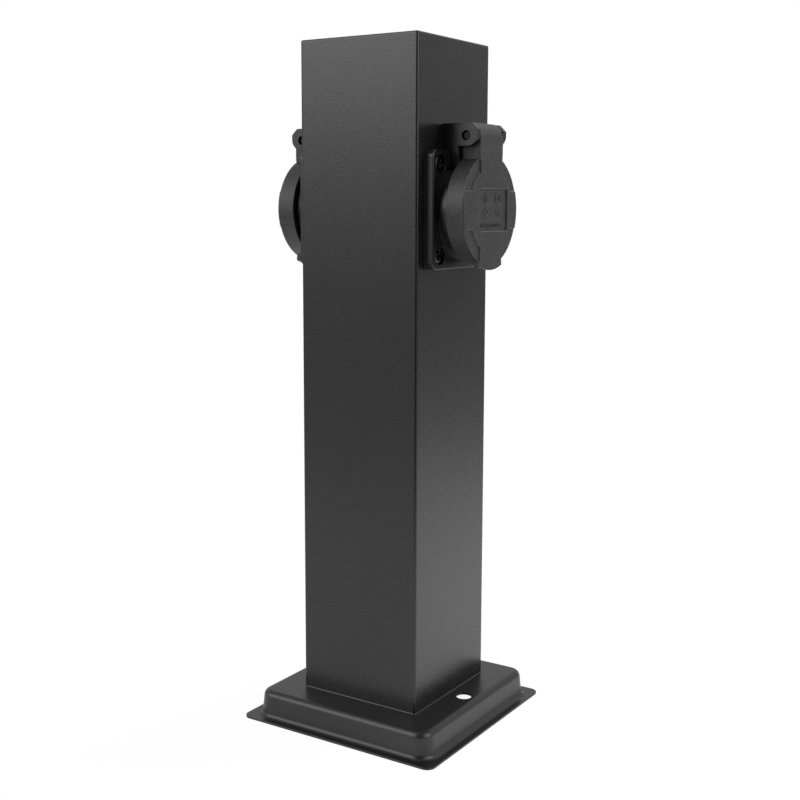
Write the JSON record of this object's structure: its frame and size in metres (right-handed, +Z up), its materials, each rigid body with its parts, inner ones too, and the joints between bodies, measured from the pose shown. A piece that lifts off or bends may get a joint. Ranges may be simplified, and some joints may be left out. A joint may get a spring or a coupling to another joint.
{
  "type": "garden socket post",
  "caption": "Square black garden power post on a pressed base, with sprung-lid earthed sockets on opposite sides, for bolting to a patio or terrace.",
  "frame": {"origin": "centre of the base on the ground plane", "axes": "+Z up the post; the sockets face +X and -X; the plain faces are -Y and +Y"},
  "size_m": [0.101, 0.101, 0.304],
  "materials": {
    "powder_coat": "fine satin powder coat",
    "black_plastic": "fine moulded grain",
    "rubber": "matt",
    "black_screw": "black passivated, semi-gloss",
    "zinc_steel": "zinc plated",
    "spring_steel": "bright drawn wire",
    "brass": "plain",
    "nylon": "natural",
    "brown_insulation": "smooth",
    "blue_insulation": "smooth",
    "green_insulation": "smooth"
  },
  "bodies": {
    "stand": {"post_tube": "powder_coat", "top_cap": "powder_coat", "base_plate": "powder_coat", "post_screws": "zinc_steel", "cable_grommet": "rubber", "terminal_bracket": "zinc_steel", "terminal_block": "nylon", "terminal_tubes": "brass", "clamp_screws": "zinc_steel", "block_screws": "zinc_steel", "earth_bolt": "zinc_steel", "earth_nut": "zinc_steel", "earth_lug": "zinc_steel", "live_wires": "brown_insulation", "neutral_wires": "blue_insulation", "earth_wires": "green_insulation", "socket_housing_right": "black_plastic", "flange_gasket_right": "rubber", "flange_screws_right": "black_screw", "pin_contacts_right": "brass", "earth_clip_right": "zinc_steel", "terminal_screws_right": "zinc_steel", "rear_cover_right": "black_plastic", "cover_screws_right": "zinc_steel", "hinge_pin_right": "black_screw", "lid_spring_right": "spring_steel", "socket_housing_left": "black_plastic", "flange_gasket_left": "rubber", "flange_screws_left": "black_screw", "pin_contacts_left": "brass", "earth_clip_left": "zinc_steel", "terminal_screws_left": "zinc_steel", "rear_cover_left": "black_plastic", "cover_screws_left": "zinc_steel", "hinge_pin_left": "black_screw", "lid_spring_left": "spring_steel"},
    "right_lid": {"lid_right": "black_plastic", "lid_seal_right": "rubber"},
    "left_lid": {"lid_left": "black_plastic", "lid_seal_left": "rubber"}
  },
  "joints": [
    {"name": "lid_hinge_right", "type": "hinge", "parent": "stand", "child": "right_lid", "pos_m": [0.0428, 0, 0.2624], "axis": [0, -1, 0], "range_deg": [0, 110], "stiffness_Nm_per_rad": 0.03, "springref_deg": -68.75, "deforming": ["lid_spring_right"]},
    {"name": "lid_hinge_left", "type": "hinge", "parent": "stand", "child": "left_lid", "pos_m": [-0.0428, 0, 0.2624], "axis": [0, 1, 0], "range_deg": [0, 110], "stiffness_Nm_per_rad": 0.03, "springref_deg": -68.75, "deforming": ["lid_spring_left"]}
  ]
}
